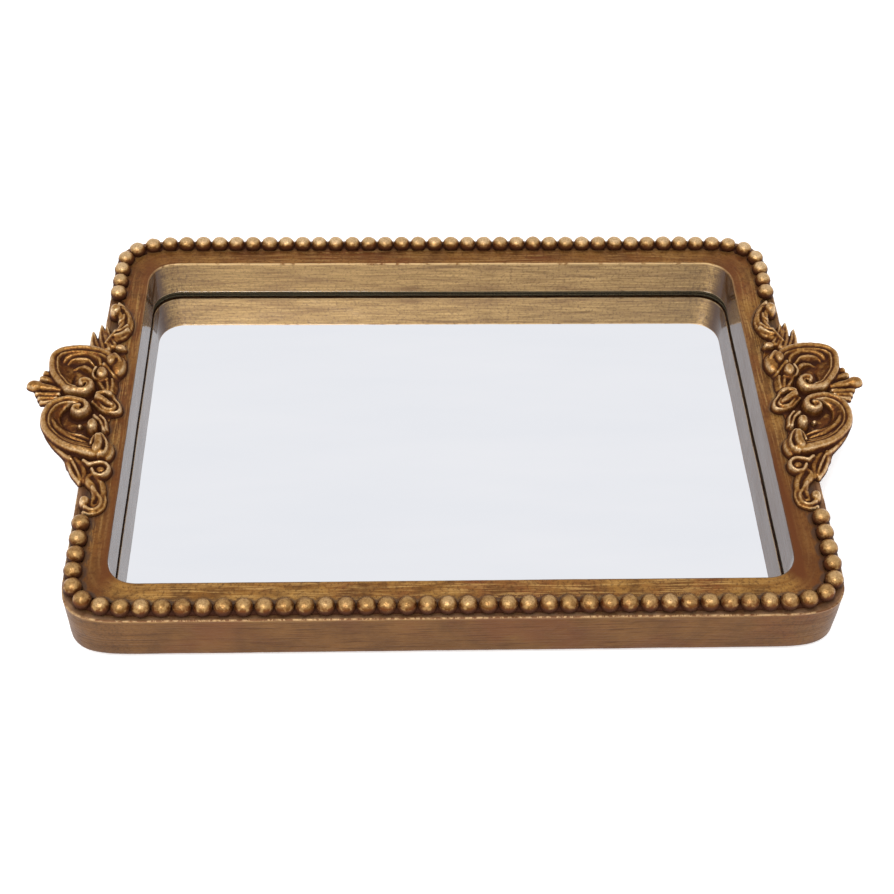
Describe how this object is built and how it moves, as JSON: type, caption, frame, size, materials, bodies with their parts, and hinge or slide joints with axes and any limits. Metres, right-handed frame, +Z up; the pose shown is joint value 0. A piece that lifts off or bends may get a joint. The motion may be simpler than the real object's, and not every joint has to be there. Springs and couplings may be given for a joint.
{
  "type": "dresser vanity tray",
  "caption": "Rectangular mirror tray with a deep gilt frame, round bead trim along the rim and cast scroll handles at both short ends.",
  "frame": {"origin": "centre of the tray on the plane it stands on", "axes": "+X towards the right handle, along the longest side; -Y towards the front long side; +Z up"},
  "size_m": [0.3902, 0.2344, 0.0358],
  "materials": {
    "antique_gold_frame": "antique gold paint, brushed lengthwise over a brown base, semi-gloss",
    "bead_gold": "antique gold paint, rubbed bright on top, dark in the joints",
    "cast_gold": "antique gold paint, rubbed bright on ridges, dark red-brown in recesses",
    "black_foam": "matt black foam tape",
    "mirror_silver": "clear silvered mirror",
    "hardboard": "brown hardboard, smooth face",
    "zinc_steel": "zinc-plated steel",
    "brown_felt": "dark brown felt"
  },
  "bodies": {
    "root": {"frame_body": "antique_gold_frame", "front_bead_string": "bead_gold", "rear_bead_string": "bead_gold", "left_handle": "cast_gold", "right_handle": "cast_gold", "mirror_gasket": "black_foam", "mirror_plate": "mirror_silver", "back_board": "hardboard", "board_screw_1": "zinc_steel", "board_screw_2": "zinc_steel", "board_screw_3": "zinc_steel", "board_screw_4": "zinc_steel", "board_screw_5": "zinc_steel", "board_screw_6": "zinc_steel", "board_screw_7": "zinc_steel", "board_screw_8": "zinc_steel", "handle_screw_1": "zinc_steel", "handle_screw_2": "zinc_steel", "handle_screw_3": "zinc_steel", "handle_screw_4": "zinc_steel", "front_left_pad": "brown_felt", "front_right_pad": "brown_felt", "rear_left_pad": "brown_felt", "rear_right_pad": "brown_felt"}
  },
  "joints": []
}
